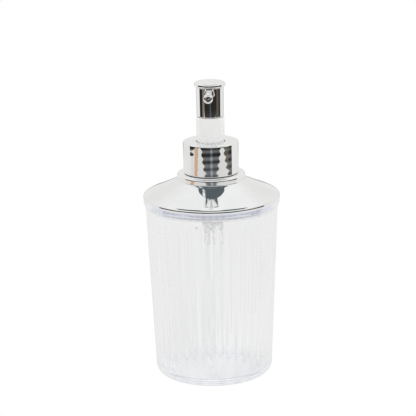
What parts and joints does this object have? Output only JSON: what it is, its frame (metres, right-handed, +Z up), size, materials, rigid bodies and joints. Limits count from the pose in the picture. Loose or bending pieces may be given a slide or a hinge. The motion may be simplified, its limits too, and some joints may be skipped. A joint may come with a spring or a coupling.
{
  "type": "soap pump dispenser",
  "caption": "Clear ribbed soap bottle with a bright coned lid, screw collar and a press-down pump head with a short forward spout.",
  "frame": {"origin": "centre of the base, on the surface the bottle stands on", "axes": "+Z up along the pump axis; the spout points along -Y"},
  "size_m": [0.08, 0.08, 0.1756],
  "materials": {
    "clear_plastic": "gloss",
    "chrome_plate": "polished",
    "natural_plastic": "satin",
    "milky_plastic": "satin",
    "clear_tube": "gloss",
    "soft_seal": "matte",
    "stainless_steel": "satin"
  },
  "bodies": {
    "base": {"bottle": "clear_plastic", "lid": "chrome_plate"},
    "pump": {"pump_housing": "natural_plastic", "neck_gasket": "soft_seal", "stem_guide": "natural_plastic", "stem_seal": "soft_seal", "ball_retainer": "natural_plastic", "dip_tube": "clear_tube", "return_spring": "stainless_steel"},
    "collar": {"collar_shell": "chrome_plate", "thread_cap": "natural_plastic"},
    "stem": {"stem_tube": "natural_plastic", "piston_rod": "natural_plastic"},
    "piston": {"piston": "soft_seal"},
    "head": {"sleeve": "milky_plastic", "head_shell": "chrome_plate", "nozzle_tube": "natural_plastic", "head_cap": "chrome_plate", "head_core": "natural_plastic"},
    "ball": {"inlet_ball": "stainless_steel"}
  },
  "joints": [
    {"name": "pump_lift", "type": "slide", "parent": "base", "child": "pump", "axis": [0, 0, 1], "range_m": [0, 0.00634]},
    {"name": "collar_turn", "type": "hinge", "parent": "pump", "child": "collar", "pos_m": [0, 0, 0.13], "axis": [0, 0, 1], "range_deg": [0, 540]},
    {"name": "head_press", "type": "slide", "parent": "pump", "child": "stem", "axis": [0, 0, -1], "range_m": [0, 0.013], "stiffness_N_per_m": 900, "springref_m": -0.008, "deforming": ["return_spring"]},
    {"name": "piston_slip", "type": "slide", "parent": "stem", "child": "piston", "axis": [0, 0, 1], "range_m": [0, 0.0015]},
    {"name": "head_spin", "type": "hinge", "parent": "stem", "child": "head", "pos_m": [0, 0, 0.16], "axis": [0, 0, 1], "continuous": true},
    {"name": "ball_lift", "type": "slide", "parent": "pump", "child": "ball", "axis": [0, 0, 1], "range_m": [0, 0.0009]}
  ],
  "couplings": [
    {"joint": "collar_turn", "follows": "pump_lift", "rad_per_m": 1485.4}
  ]
}
